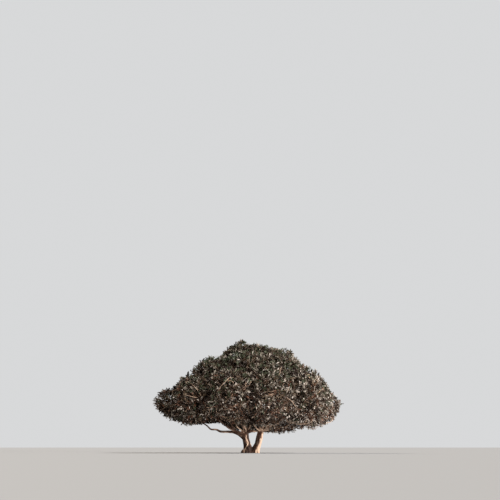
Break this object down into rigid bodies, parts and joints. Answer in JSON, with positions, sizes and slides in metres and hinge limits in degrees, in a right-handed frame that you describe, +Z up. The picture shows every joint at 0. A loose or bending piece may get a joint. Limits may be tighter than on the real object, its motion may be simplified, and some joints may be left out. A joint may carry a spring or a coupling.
{
  "type": "acacia tree",
  "caption": "Whole acacia tree, twin stems forking low into spreading boughs under a broad dense domed crown in lobes, cut flat at ground level.",
  "frame": {"origin": "centre of the flat cut under the trunk, at ground level between the two stems' feet", "axes": "+Z up along the trunk, +X to the right of the pictured front, +Y away from it"},
  "size_m": [8.5268, 7.8526, 5.1725],
  "materials": {
    "bark": "rough furrowed grey-brown bark",
    "foliage": "leathery dull olive-grey leaves"
  },
  "bodies": {
    "root": {"bough_back_left": "bark", "bough_cross": "bark", "bough_front_left": "bark", "bough_front_right": "bark", "bough_high_left": "bark", "bough_inner_front": "bark", "bough_inner_left": "bark", "bough_inner_right": "bark", "bough_lean_left": "bark", "bough_left_back": "bark", "bough_low_front": "bark", "bough_low_left": "bark", "bough_low_right": "bark", "bough_right_back": "bark", "bough_rise_back": "bark", "bough_rise_left": "bark", "bough_rise_right": "bark", "bough_shoulder_back": "bark", "bough_shoulder_back_left": "bark", "bough_shoulder_back_right": "bark", "bough_shoulder_front": "bark", "bough_shoulder_front_left": "bark", "foliage_inner_1": "foliage", "foliage_inner_2": "foliage", "foliage_inner_3": "foliage", "foliage_shoulder_1": "foliage", "foliage_shoulder_2": "foliage", "foliage_shoulder_3": "foliage", "foliage_shoulder_4": "foliage", "foliage_shoulder_5": "foliage", "foliage_shoulder_6": "foliage", "foliage_skirt_1": "foliage", "foliage_skirt_10": "foliage", "foliage_skirt_2": "foliage", "foliage_skirt_3": "foliage", "foliage_skirt_4": "foliage", "foliage_skirt_5": "foliage", "foliage_skirt_6": "foliage", "foliage_skirt_7": "foliage", "foliage_skirt_8": "foliage", "foliage_skirt_9": "foliage", "foliage_top_1": "foliage", "foliage_top_2": "foliage", "foliage_top_3": "foliage", "trunk": "bark"}
  },
  "joints": []
}
